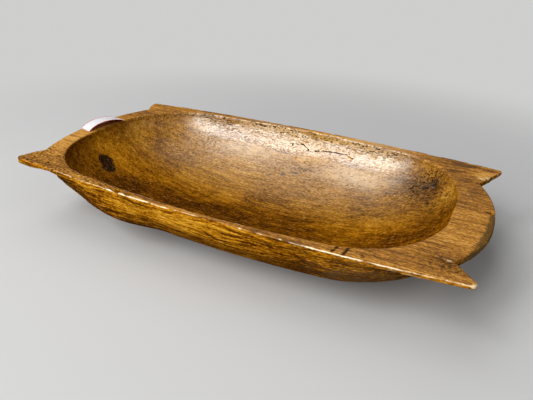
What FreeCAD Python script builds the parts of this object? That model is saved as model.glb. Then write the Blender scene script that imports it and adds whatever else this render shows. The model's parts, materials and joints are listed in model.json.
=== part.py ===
"""A hand-hewn wooden dough trough with four pointed ears, and the paper tag on its end shelf.

Frame: X runs along the trough, Y across it, +Z up. The origin is on the foot, under the
middle of the trough. Millimetres throughout.

The trough is made as a carver makes it. A blank is sawn to the plan outline, its underside is
hewn to a board with an egg-shaped belly below it, and the hollow is dug from the top. Belly and
hollow are worked in narrow level flats, as an adze and a scraper leave them.
"""

import FreeCAD, Part
import math
import os
import re
import Sketcher

from FreeCAD import Vector

doc = FreeCAD.newDocument("dough_trough")

# Driving dimensions. Setbacks, overhangs and shelves run inwards from the crown of an end lobe.
SIZES = {
    # plan outline
    "lobe_reach": 361.0,  # middle of the trough to the crown of each end lobe
    "side_width": 199.0,  # centre line to the rim, half way along
    "tip_width": 177.0,  # centre line to the side of the ears
    "tip_radius": 6.0,
    "left_tip_setback": 13.0,
    "right_tip_setback": 5.0,
    "left_notch_setback": 28.0,
    "right_notch_setback": 33.0,
    "front_left_notch": 134.0,  # centre line to each notch
    "back_left_notch": 136.0,
    "back_right_notch": 106.0,
    "front_right_notch": 139.0,
    # board: the flat rim, its end shelves and its ears
    "trough_height": 112.0,
    "board_middle": 14.0,  # thickness on the centre line
    "board_edge": 5.0,  # thickness along the sides
    "blank_margin": 16.0,  # the board is this much wider than the rim before the saw cut
    # belly
    "left_overhang": 18.0,  # board beyond the belly, at each end
    "right_overhang": 26.0,
    "belly_overcut": 1.5,  # the belly is this much fuller than the rim, so the saw cut trims it flush
    "belly_run_out": 3.5,  # foot to where the round belly would close, if it had no foot
    "belly_end_radius": 780.0,
    "belly_corner_radius": 128.0,
    "belly_side_radius": 2200.0,
    "root_bevel": 8.0,  # where the belly runs out under the board
    # hollow
    "left_shelf": 33.0,
    "right_shelf": 55.0,
    "side_rim": 11.0,  # rim beside the hollow, half way along
    "floor_thickness": 15.0,
    "hollow_run_out": 2.0,  # floor to where the round hollow would close, if it had no flat floor
    "hollow_end_radius": 680.0,
    "hollow_corner_radius": 138.0,
    "hollow_side_radius": 1400.0,
    # worn edges
    "lip_bevel": 2.5,
    "edge_bevel": 1.5,
    # paper tag
    "tag_length": 78.0,  # end to end, across the shelf
    "tag_width": 30.0,
    "tag_paper": 0.4,
    "tag_rise": 10.0,  # shelf to the underside of the arch
    "tag_foot": 3.0,  # flat end that rests on the shelf
    "tag_offset": 14.0,  # centre line to the middle of the tag
    "tag_inset": 6.0,  # crown of the lobe to the middle of the tag's outer side
    "tag_turn": 8.0,  # degrees away from square across the shelf
}

sheet = doc.addObject("Spreadsheet::Sheet", "sizes")
for row, (alias, value) in enumerate(SIZES.items(), start=1):
    sheet.set(f"A{row}", alias)
    sheet.set(f"B{row}", str(value))
    sheet.setAlias(f"B{row}", alias)
doc.recompute()


# ---- sketch helpers: a formula is text over the sheet's aliases, every one of which has an underscore


def from_sheet(formula):
    return re.sub(r"[a-z]+(_[a-z]+)+", r"sizes.\g<0>", formula)


def value(formula):
    return float(sheet.evalExpression(from_sheet(formula)))


def bind(feature, prop, formula):
    feature.setExpression(prop, from_sheet(formula))


def dimension(sketch, name, formula, kind, *elements):
    """Adds a named dimension that follows the sheet."""
    index = sketch.addConstraint(Sketcher.Constraint(kind, *elements, value(formula)))
    sketch.renameConstraint(index, name)
    bind(sketch, f"Constraints.{name}", formula)


def new_sketch(body, name, role):
    plane = next(item for item in body.Origin.OriginFeatures if item.Role == role)
    sketch = body.newObject("Sketcher::SketchObject", name)
    sketch.AttachmentSupport = [(plane, "")]
    sketch.MapMode = "FlatFace"
    return sketch


def arc(centre, start, end):
    """A counter-clockwise arc about centre, from the bearing of start to the bearing of end."""
    first = math.atan2(start[1] - centre[1], start[0] - centre[0])
    last = math.atan2(end[1] - centre[1], end[0] - centre[0])
    radius = math.hypot(start[0] - centre[0], start[1] - centre[1])
    circle = Part.Circle(Vector(*centre, 0), Vector(0, 0, 1), radius)
    return Part.ArcOfCircle(circle, first, last if last > first else last + 2 * math.pi)


def line(start, end):
    return Part.LineSegment(Vector(*start, 0), Vector(*end, 0))


# Sketcher numbers the points of an edge upwards and its own axes downwards.
START, END, CENTRE = range(1, 4)
X_AXIS, Y_AXIS = range(-1, -3, -1)
ORIGIN = (X_AXIS, START)


# ---- waterlines of the belly and the hollow


def corner_centre(half_length, half_width, end_radius, corner_radius, side_radius):
    """Centre of the arc that joins an end arc to a side arc, inside both."""
    end = Vector(half_length - end_radius, 0, 0)
    side = Vector(0, half_width - side_radius, 0)
    from_end, from_side = end_radius - corner_radius, side_radius - corner_radius
    apart = (end - side).Length
    along = (from_side**2 - from_end**2 + apart**2) / (2 * apart)
    out = math.sqrt(from_side**2 - along**2)
    toward = (end - side) / apart
    centre = side + toward * along + Vector(-toward.y, toward.x, 0) * out
    other = side + toward * along - Vector(-toward.y, toward.x, 0) * out
    best = max((centre, other), key=lambda point: min(point.x, point.y))
    return best.x, best.y


def waterline(body, form, angle, spread):
    """One level outline of a half-egg form: a bowed rectangle of eight tangent arcs.

    Angle is how far it lies down the round, and spread moves the whole outline outwards.
    """
    sketch = new_sketch(body, f"{form['name']}_waterline", "XY_Plane")
    bind(sketch, "AttachmentOffset.Base.x", form["shift"])
    bind(sketch, "AttachmentOffset.Base.z", f"trough_height - {form['depth']} * sin({angle})")
    names = ("half_length", "half_width", "end_radius", "corner_radius", "side_radius")
    formulas = {name: f"(({form[name]}) * cos({angle}) + {spread})" for name in names}
    half_length, half_width, end_radius, corner_radius, side_radius = (
        value(formulas[name]) for name in names
    )
    cx, cy = corner_centre(half_length, half_width, end_radius, corner_radius, side_radius)
    end_x, side_y = half_length - end_radius, half_width - side_radius
    end_bearing = math.atan2(cy, cx - end_x)
    side_bearing = math.atan2(cy - side_y, cx)
    joint_end = (end_x + end_radius * math.cos(end_bearing), end_radius * math.sin(end_bearing))
    joint_side = (
        side_radius * math.cos(side_bearing),
        side_y + side_radius * math.sin(side_bearing),
    )

    def mirrored(point, sx, sy):
        return point[0] * sx, point[1] * sy

    for turn, (sx, sy) in enumerate(((1, 1), (-1, 1), (-1, -1), (1, -1))):
        end, side, corner = (mirrored(p, sx, sy) for p in (joint_end, joint_side, (cx, cy)))
        if turn % 2 == 0:
            across = mirrored(joint_end, sx, -sy)
            sketch.addGeometry(arc(mirrored((end_x, 0), sx, sy), across, end))
            sketch.addGeometry(arc(corner, end, side))
        else:
            across = mirrored(joint_side, -sx, sy)
            sketch.addGeometry(arc(mirrored((0, side_y), sx, sy), across, side))
            sketch.addGeometry(arc(corner, side, end))
    right, top, left, bottom = 0, 2, 4, 6
    corners = (1, 3, 5, 7)
    for index in range(8):
        sketch.addConstraint(Sketcher.Constraint("Tangent", index, END, (index + 1) % 8, START))
    sketch.addConstraint(
        [
            Sketcher.Constraint("PointOnObject", right, CENTRE, X_AXIS),
            Sketcher.Constraint("Symmetric", right, CENTRE, left, CENTRE, *ORIGIN),
            Sketcher.Constraint("PointOnObject", top, CENTRE, Y_AXIS),
            Sketcher.Constraint("Symmetric", top, CENTRE, bottom, CENTRE, *ORIGIN),
            Sketcher.Constraint("Equal", right, left),
            Sketcher.Constraint("Equal", top, bottom),
            *(Sketcher.Constraint("Equal", corners[0], other) for other in corners[1:]),
        ]
    )
    dimension(sketch, "end_radius", formulas["end_radius"], "Radius", right)
    dimension(sketch, "corner_radius", formulas["corner_radius"], "Radius", corners[0])
    dimension(sketch, "side_radius", formulas["side_radius"], "Radius", top)
    end_place = f"{formulas['half_length']} - {formulas['end_radius']}"
    side_place = f"{formulas['half_width']} - {formulas['side_radius']}"
    dimension(sketch, "end_place", end_place, "DistanceX", *ORIGIN, right, CENTRE)
    dimension(sketch, "side_place", side_place, "DistanceY", *ORIGIN, top, CENTRE)
    return sketch


def half_egg(body, form, kind):
    """Lofts a half-egg form flat by flat, from the rim down to its level bottom."""
    bottom = f"asin({form['flat_depth']} / {form['depth']})"
    last = max(form["cuts"])
    round_part = [(f"{bottom} * {cut} / {last}", "0") for cut in form["cuts"]]
    outlines = [waterline(body, form, *place) for place in form["rim"] + round_part]
    doc.recompute()
    loft = body.newObject(kind, form["name"])
    loft.Profile = outlines[0]
    loft.Sections = outlines[1:]
    loft.Ruled = True
    return loft


# The rim gives the angle and the spread of the first waterlines, and the cuts are equal steps of
# angle below them. The belly's first flat is a double one, so the whole root of the board is in it.
BELLY = {
    "name": "belly",
    "rim": [("0 deg", "0")],
    "cuts": range(2, 13),
    "half_length": "lobe_reach - (left_overhang + right_overhang) / 2",
    "half_width": "side_width + belly_overcut",
    "end_radius": "belly_end_radius",
    "corner_radius": "belly_corner_radius",
    "side_radius": "belly_side_radius",
    "shift": "(left_overhang - right_overhang) / 2",
    "depth": "(trough_height + belly_run_out)",
    "flat_depth": "trough_height",
}

HOLLOW_DEPTH = "(trough_height - floor_thickness + hollow_run_out)"
HOLLOW = {
    "name": "hollow",
    "rim": [("0 deg", "lip_bevel"), (f"asin(lip_bevel / {HOLLOW_DEPTH})", "0")],
    "cuts": range(1, 17),
    "half_length": "lobe_reach - (left_shelf + right_shelf) / 2",
    "half_width": "side_width - side_rim",
    "end_radius": "hollow_end_radius",
    "corner_radius": "hollow_corner_radius",
    "side_radius": "hollow_side_radius",
    "shift": "(left_shelf - right_shelf) / 2",
    "depth": HOLLOW_DEPTH,
    "flat_depth": "(trough_height - floor_thickness)",
}


# ---- plan outline


def ear(tip_setback, notch_setback, notch_width, sx, sy):
    """Points of one ear: where the side meets the tip, its centre, the straight's end, the notch."""
    radius = value("tip_radius")
    bow = value("side_width - tip_width")
    side_radius = (value("lobe_reach") ** 2 + bow**2) / (2 * bow)
    side_y = value("side_width") - side_radius
    tip_x = value(f"lobe_reach - {tip_setback} - tip_radius")
    tip_y = side_y + math.sqrt((side_radius - radius) ** 2 - tip_x**2)
    bearing = math.atan2(tip_y - side_y, tip_x)
    side_joint = (tip_x + radius * math.cos(bearing), tip_y + radius * math.sin(bearing))
    notch = (value(f"lobe_reach - {notch_setback}"), value(notch_width))
    run = math.hypot(tip_x - notch[0], tip_y - notch[1])
    slope = math.atan2(tip_y - notch[1], tip_x - notch[0]) - math.asin(radius / run)
    line_joint = (tip_x + radius * math.sin(slope), tip_y - radius * math.cos(slope))
    return [(x * sx, y * sy) for x, y in (side_joint, (tip_x, tip_y), line_joint, notch)]


EARS = {
    "front_right": ("right_tip_setback", "right_notch_setback", "front_right_notch", 1, -1),
    "back_right": ("right_tip_setback", "right_notch_setback", "back_right_notch", 1, 1),
    "back_left": ("left_tip_setback", "left_notch_setback", "back_left_notch", -1, 1),
    "front_left": ("left_tip_setback", "left_notch_setback", "front_left_notch", -1, -1),
}


def plan_outline(body):
    """The saw line: two bowed sides, four ears with round tips, and a lobe at each end."""
    sketch = new_sketch(body, "plan_outline", "XY_Plane")
    ears = {name: ear(*spec) for name, spec in EARS.items()}
    bow = "(side_width - tip_width)"
    side_radius = f"((lobe_reach ^ 2 + {bow} ^ 2) / (2 * {bow}))"
    side_y = value(f"side_width - {side_radius}")

    def lobe_radius(first, last, setback):
        return f"(({first}_notch + {last}_notch) ^ 2 / (8 * {setback}) + {setback} / 2)"

    def side(first, last, centre_y):
        return [arc((0, centre_y), ears[first][0], ears[last][0])]

    def lobe(first, last, radius):
        start, end = ears[first][3], ears[last][3]
        back = math.sqrt(value(radius) ** 2 - (start[1] - end[1]) ** 2 / 4)
        centre = (start[0] - math.copysign(back, start[0]), (start[1] + end[1]) / 2)
        return [arc(centre, start, end)]

    def ear_out(name):
        joint, tip, straight, notch = ears[name]
        return [arc(tip, joint, straight), line(straight, notch)]

    def ear_back(name):
        joint, tip, straight, notch = ears[name]
        return [line(notch, straight), arc(tip, straight, joint)]

    right_radius = lobe_radius("front_right", "back_right", "right_notch_setback")
    left_radius = lobe_radius("back_left", "front_left", "left_notch_setback")
    sketch.addGeometry(
        side("front_left", "front_right", -side_y)
        + ear_out("front_right")
        + lobe("front_right", "back_right", right_radius)
        + ear_back("back_right")
        + side("back_right", "back_left", side_y)
        + ear_out("back_left")
        + lobe("back_left", "front_left", left_radius)
        + ear_back("front_left")
    )
    front, back, right, left = 0, 6, 3, 9
    tips = {"front_right": 1, "back_right": 5, "back_left": 7, "front_left": 11}
    notches = {
        "front_right": (right, START),
        "back_right": (right, END),
        "back_left": (left, START),
        "front_left": (left, END),
    }
    count = sketch.GeometryCount
    for index in range(count):
        following = (index + 1) % count
        at_notch = index in (right, left) or following in (right, left)
        kind = "Coincident" if at_notch else "Tangent"
        sketch.addConstraint(Sketcher.Constraint(kind, index, END, following, START))
    sketch.addConstraint(
        [
            Sketcher.Constraint("PointOnObject", front, CENTRE, Y_AXIS),
            Sketcher.Constraint("Symmetric", front, CENTRE, back, CENTRE, *ORIGIN),
            Sketcher.Constraint("Equal", front, back),
            *(Sketcher.Constraint("Equal", tips["front_right"], tips[name]) for name in list(tips)[1:]),
        ]
    )
    dimension(sketch, "side_radius", side_radius, "Radius", front)
    dimension(sketch, "side_place", f"{side_radius} - side_width", "DistanceY", *ORIGIN, front, CENTRE)
    dimension(sketch, "tip_radius", "tip_radius", "Radius", tips["front_right"])
    dimension(sketch, "right_radius", right_radius, "Radius", right)
    dimension(sketch, "left_radius", left_radius, "Radius", left)
    for name, (tip_setback, notch_setback, notch_width, sx, sy) in EARS.items():
        tip_x = f"{sx} * (lobe_reach - {tip_setback} - tip_radius)"
        notch_x = f"{sx} * (lobe_reach - {notch_setback})"
        notch_y = f"{sy} * {notch_width}"
        dimension(sketch, f"{name}_tip", tip_x, "DistanceX", *ORIGIN, tips[name], CENTRE)
        dimension(sketch, f"{name}_notch_x", notch_x, "DistanceX", *ORIGIN, *notches[name])
        dimension(sketch, f"{name}_notch_y", notch_y, "DistanceY", *ORIGIN, *notches[name])
    return sketch


# ---- board


def board_section(body):
    """Across the board: flat on top, crowned below, so that its sides and ears are thin."""
    sketch = new_sketch(body, "board_section", "YZ_Plane")
    half_width = "(side_width + blank_margin)"
    crown = "(board_middle - board_edge)"
    radius = f"((side_width ^ 2 + {crown} ^ 2) / (2 * {crown}))"
    centre_z = f"trough_height - board_middle + {radius}"
    wide, top = value(half_width), value("trough_height")
    low = value(f"{centre_z} - sqrt({radius} ^ 2 - {half_width} ^ 2)")
    sketch.addGeometry(
        [
            line((wide, top), (-wide, top)),
            line((-wide, top), (-wide, low)),
            arc((0, value(centre_z)), (-wide, low), (wide, low)),
            line((wide, low), (wide, top)),
        ]
    )
    upper, left, under, right = range(4)
    for index in range(4):
        sketch.addConstraint(Sketcher.Constraint("Coincident", index, END, (index + 1) % 4, START))
    sketch.addConstraint(
        [
            Sketcher.Constraint("Vertical", left),
            Sketcher.Constraint("Vertical", right),
            Sketcher.Constraint("Symmetric", upper, START, upper, END, Y_AXIS),
            Sketcher.Constraint("PointOnObject", under, CENTRE, Y_AXIS),
        ]
    )
    dimension(sketch, "top", "trough_height", "DistanceY", *ORIGIN, upper, START)
    dimension(sketch, "half_width", half_width, "DistanceX", *ORIGIN, upper, START)
    dimension(sketch, "crown_radius", radius, "Radius", under)
    dimension(sketch, "crown_place", centre_z, "DistanceY", *ORIGIN, under, CENTRE)
    return sketch


# ---- bodies


def saw_edges(shape):
    """The saw line round the board's flat top."""
    level = [face for face in shape.Faces if isinstance(face.Surface, Part.Plane)]
    top = max(level, key=lambda face: face.CenterOfMass.z)
    return top.OuterWire.Edges


def root_edges(shape):
    """The line where the belly's lofted sides run into the crowned underside of the board."""
    crowned = [face for face in shape.Faces if isinstance(face.Surface, Part.Cylinder)]
    lofted = [face for face in shape.Faces if isinstance(face.Surface, Part.BSplineSurface)]
    sides = [edge for face in lofted for edge in face.Edges]
    return [edge for face in crowned for edge in face.Edges if any(map(edge.isSame, sides))]


def bevel_edges(body, name, choose, size):
    """Bevels the edges that choose picks from the body's newest feature."""
    base = body.Tip
    chosen = choose(base.Shape)
    names = [f"Edge{i}" for i, edge in enumerate(base.Shape.Edges, 1) if any(map(edge.isSame, chosen))]
    bevel = body.newObject("PartDesign::Chamfer", name)
    bevel.Base = (base, names)
    bind(bevel, "Size", size)
    doc.recompute()


def hewn_form():
    """Board and belly in one, before the saw cut."""
    body = doc.addObject("PartDesign::Body", "hewn_form")
    board = body.newObject("PartDesign::Pad", "board")
    board.Profile = board_section(body)
    board.SideType = "Symmetric"
    bind(board, "Length", "2 * lobe_reach")
    doc.recompute()
    half_egg(body, BELLY, "PartDesign::AdditiveLoft")
    doc.recompute()
    bevel_edges(body, "root", root_edges, "root_bevel")
    return body


def make_bowl():
    form = hewn_form()
    body = doc.addObject("PartDesign::Body", "bowl")
    blank = body.newObject("PartDesign::Pad", "sawn_blank")
    blank.Profile = plan_outline(body)
    bind(blank, "Length", "trough_height")
    doc.recompute()
    hewing = body.newObject("PartDesign::Boolean", "hewing")
    hewing.Type = "Common"
    hewing.Group = [form]
    doc.recompute()
    half_egg(body, HOLLOW, "PartDesign::SubtractiveLoft")
    doc.recompute()
    bevel_edges(body, "worn_edge", saw_edges, "edge_bevel")
    return body


# ---- paper tag


def tag_profile(body):
    """Along the tag: a strip of paper that arches between two flat ends."""
    sketch = new_sketch(body, "tag_profile", "YZ_Plane")
    half_span = "(tag_length / 2 - tag_foot)"
    inner_radius = f"(({half_span} ^ 2 + tag_rise ^ 2) / (2 * tag_rise))"
    outer_radius = f"({inner_radius} + tag_paper)"
    centre = (0, value(f"tag_rise - {inner_radius}"))
    paper, end = value("tag_paper"), value("tag_length / 2")
    inner = value(half_span)
    outer = math.sqrt(value(outer_radius) ** 2 - (centre[1] - paper) ** 2)
    sketch.addGeometry(
        [
            line((-end, 0), (-inner, 0)),
            arc(centre, (inner, 0), (-inner, 0)),
            line((inner, 0), (end, 0)),
            line((end, 0), (end, paper)),
            line((end, paper), (outer, paper)),
            arc(centre, (outer, paper), (-outer, paper)),
            line((-outer, paper), (-end, paper)),
            line((-end, paper), (-end, 0)),
        ]
    )
    near_foot, under_arch, far_foot, far_end, far_top, over_arch, near_top, near_end = range(8)
    joints = [
        (near_foot, END, under_arch, END),
        (under_arch, START, far_foot, START),
        (far_foot, END, far_end, START),
        (far_end, END, far_top, START),
        (far_top, END, over_arch, START),
        (over_arch, END, near_top, START),
        (near_top, END, near_end, START),
        (near_end, END, near_foot, START),
        (under_arch, CENTRE, over_arch, CENTRE),
    ]
    sketch.addConstraint(
        [
            *(Sketcher.Constraint("Coincident", *joint) for joint in joints),
            *(Sketcher.Constraint("Horizontal", item) for item in (far_top, near_top)),
            *(Sketcher.Constraint("Vertical", item) for item in (far_end, near_end)),
            *(Sketcher.Constraint("PointOnObject", near_foot, end, X_AXIS) for end in (START, END)),
            *(Sketcher.Constraint("PointOnObject", far_foot, end, X_AXIS) for end in (START, END)),
            Sketcher.Constraint("PointOnObject", under_arch, CENTRE, Y_AXIS),
            Sketcher.Constraint("Equal", far_end, near_end),
        ]
    )
    dimension(sketch, "inner_radius", inner_radius, "Radius", under_arch)
    dimension(sketch, "outer_radius", outer_radius, "Radius", over_arch)
    arch_place = f"tag_rise - {inner_radius}"
    dimension(sketch, "arch_place", arch_place, "DistanceY", *ORIGIN, under_arch, CENTRE)
    dimension(sketch, "paper", "tag_paper", "DistanceY", far_end, START, far_end, END)
    dimension(sketch, "near_place", "-tag_length / 2", "DistanceX", *ORIGIN, near_foot, START)
    dimension(sketch, "far_place", "tag_length / 2", "DistanceX", *ORIGIN, far_foot, END)
    return sketch


def make_tag():
    body = doc.addObject("PartDesign::Body", "price_tag")
    strip = body.newObject("PartDesign::Pad", "strip")
    strip.Profile = tag_profile(body)
    strip.SideType = "Symmetric"
    bind(strip, "Length", "tag_width")
    bind(body, "Placement.Base.x", "tag_inset + tag_width / 2 - lobe_reach")
    bind(body, "Placement.Base.y", "tag_offset")
    bind(body, "Placement.Base.z", "trough_height")
    bind(body, "Placement.Rotation.Angle", "-tag_turn")
    doc.recompute()
    return body


# ---- build, check and write

nodes = [make_bowl(), make_tag()]
doc.recompute()
failed = [item.Name for item in doc.Objects if {"Invalid", "Error"} & set(item.State)]
if failed:
    raise RuntimeError(f"features failed: {failed}")
os.makedirs("parts", exist_ok=True)
for node in nodes:
    shape = node.Shape
    if shape.isNull() or not shape.isValid() or len(shape.Solids) != 1:
        raise RuntimeError(f"{node.Label} is not one sound solid")
    shape.exportStep(f"parts/{node.Label}.step")
    print(f"{node.Label}: {shape.Volume / 1000:.1f} cm3, {len(shape.Faces)} faces")
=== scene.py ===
import functools
import json
import math
from types import SimpleNamespace

import bpy
import numpy as np
from mathutils import Matrix, Vector

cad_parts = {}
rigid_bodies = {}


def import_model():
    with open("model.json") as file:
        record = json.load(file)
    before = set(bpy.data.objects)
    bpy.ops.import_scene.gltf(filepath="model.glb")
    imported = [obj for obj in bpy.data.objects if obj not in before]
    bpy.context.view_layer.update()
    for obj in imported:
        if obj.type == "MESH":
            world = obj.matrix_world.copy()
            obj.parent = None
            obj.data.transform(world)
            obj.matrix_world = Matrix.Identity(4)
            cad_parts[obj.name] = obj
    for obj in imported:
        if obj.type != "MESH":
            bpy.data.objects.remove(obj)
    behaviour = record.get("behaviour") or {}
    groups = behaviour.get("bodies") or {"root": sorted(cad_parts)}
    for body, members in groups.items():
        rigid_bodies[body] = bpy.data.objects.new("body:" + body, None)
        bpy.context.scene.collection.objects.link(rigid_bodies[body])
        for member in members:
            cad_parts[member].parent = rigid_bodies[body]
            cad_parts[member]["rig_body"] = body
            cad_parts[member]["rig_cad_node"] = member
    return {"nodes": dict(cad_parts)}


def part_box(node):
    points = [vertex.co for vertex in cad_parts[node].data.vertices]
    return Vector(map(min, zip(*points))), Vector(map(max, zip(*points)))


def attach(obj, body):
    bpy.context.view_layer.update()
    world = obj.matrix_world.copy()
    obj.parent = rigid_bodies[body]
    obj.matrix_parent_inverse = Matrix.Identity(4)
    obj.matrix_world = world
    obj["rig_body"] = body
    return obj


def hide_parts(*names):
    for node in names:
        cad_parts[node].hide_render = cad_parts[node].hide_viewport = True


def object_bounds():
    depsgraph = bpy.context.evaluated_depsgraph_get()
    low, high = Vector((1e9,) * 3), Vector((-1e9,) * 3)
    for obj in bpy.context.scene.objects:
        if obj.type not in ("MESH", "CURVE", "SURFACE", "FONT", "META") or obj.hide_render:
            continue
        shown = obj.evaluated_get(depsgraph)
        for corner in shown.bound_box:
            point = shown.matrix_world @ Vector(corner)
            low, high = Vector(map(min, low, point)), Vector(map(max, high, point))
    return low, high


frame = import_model()
cadBox = [list(corner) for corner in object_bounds()]
print("frame loaded")


def pickOnly(piece):
    bpy.ops.object.select_all(action="DESELECT")
    piece.select_set(True)
    bpy.context.view_layer.objects.active = piece


def copyOfNode(nodeName, newName):
    pickOnly(frame["nodes"][nodeName])
    bpy.ops.object.duplicate()
    piece = bpy.context.active_object
    piece.name = newName
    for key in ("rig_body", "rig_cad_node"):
        if key in piece:
            del piece[key]
    bpy.ops.object.parent_clear(type="CLEAR_KEEP_TRANSFORM")
    piece.data.materials.clear()
    bpy.ops.object.mode_set(mode="EDIT")
    bpy.ops.mesh.select_all(action="SELECT")
    bpy.ops.mesh.remove_doubles(threshold=1e-5)
    bpy.ops.object.mode_set(mode="OBJECT")
    return piece


def applyModifier(piece, kind, **settings):
    modifier = piece.modifiers.new(kind.lower(), kind)
    for key, value in settings.items():
        setattr(modifier, key, value)
    pickOnly(piece)
    bpy.ops.object.modifier_apply(modifier=modifier.name)


def readPoints(piece):
    points = np.empty(len(piece.data.vertices) * 3, np.float32)
    piece.data.vertices.foreach_get("co", points)
    return points.reshape(-1, 3).astype(float) * 1000.0


def readNormals(piece):
    normals = np.empty(len(piece.data.vertices) * 3, np.float32)
    piece.data.vertices.foreach_get("normal", normals)
    return normals.reshape(-1, 3).astype(float)


def writePoints(piece, points):
    piece.data.vertices.foreach_set("co", (points / 1000.0).astype(np.float32).ravel())
    piece.data.update()


def storeMask(piece, name, values):
    mask = piece.data.attributes.new(name, "FLOAT", "POINT")
    mask.data.foreach_set("value", np.clip(values, 0.0, 1.0).astype(np.float32))


def ramp(values, low, high):
    t = np.clip((values - low) / (high - low), 0.0, 1.0)
    return t * t * (3.0 - 2.0 * t)


def grainNoise(points, sizes, seed):
    # smooth value noise from 0 to 1, with one lump for each box of the given sizes
    cells = points / np.asarray(sizes, float) + seed * 17.31
    corner = np.floor(cells).astype(np.int64)
    part = cells - corner
    part = part * part * (3.0 - 2.0 * part)
    total = np.zeros(len(points))
    for step in range(8):
        shift = np.array([step & 1, step >> 1 & 1, step >> 2 & 1])
        at = corner + shift
        mixed = at[:, 0] * 374761393 + at[:, 1] * 668265263 + at[:, 2] * 2147483647 + seed * 97531
        mixed = (mixed ^ (mixed >> 13)) * 1274126177 & 0xFFFFFFFF
        value = ((mixed ^ (mixed >> 16)) & 0xFFFF) / 65535.0
        weight = np.prod(np.where(shift == 1, part, 1.0 - part), axis=1)
        total += weight * value
    return total


def nearPoint(points, centre, reach):
    # 1 at the centre, falling smoothly to 0 at the reach, which may differ along each axis
    away = (points - np.asarray(centre)) / np.asarray(reach, float)
    return 1.0 - ramp(np.linalg.norm(away, axis=1), 0.0, 1.0)


def nearLine(points, start, end, reach):
    start, end = np.asarray(start, float), np.asarray(end, float)
    along = np.clip((points - start) @ (end - start) / ((end - start) @ (end - start)), 0.0, 1.0)
    gap = np.linalg.norm(points - start - along[:, None] * (end - start), axis=1)
    return 1.0 - ramp(gap, 0.0, reach)


class Wire:
    # a number on its way through a shader, so that maths reads as maths
    def __init__(self, board, socket):
        self.board, self.socket = board, socket

    def maths(self, operation, *values):
        return self.board.add("ShaderNodeMath", {"operation": operation}, values)

    def __add__(self, other):
        return self.maths("ADD", self, other)

    def __radd__(self, other):
        return self.maths("ADD", other, self)

    def __sub__(self, other):
        return self.maths("SUBTRACT", self, other)

    def __rsub__(self, other):
        return self.maths("SUBTRACT", other, self)

    def __mul__(self, other):
        return self.maths("MULTIPLY", self, other)

    def __rmul__(self, other):
        return self.maths("MULTIPLY", other, self)

    def clamp(self):
        return self.most(0.0).least(1.0)

    def sine(self):
        return self.maths("SINE", self)

    def most(self, other):
        return self.maths("MAXIMUM", self, other)

    def least(self, other):
        return self.maths("MINIMUM", self, other)


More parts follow.
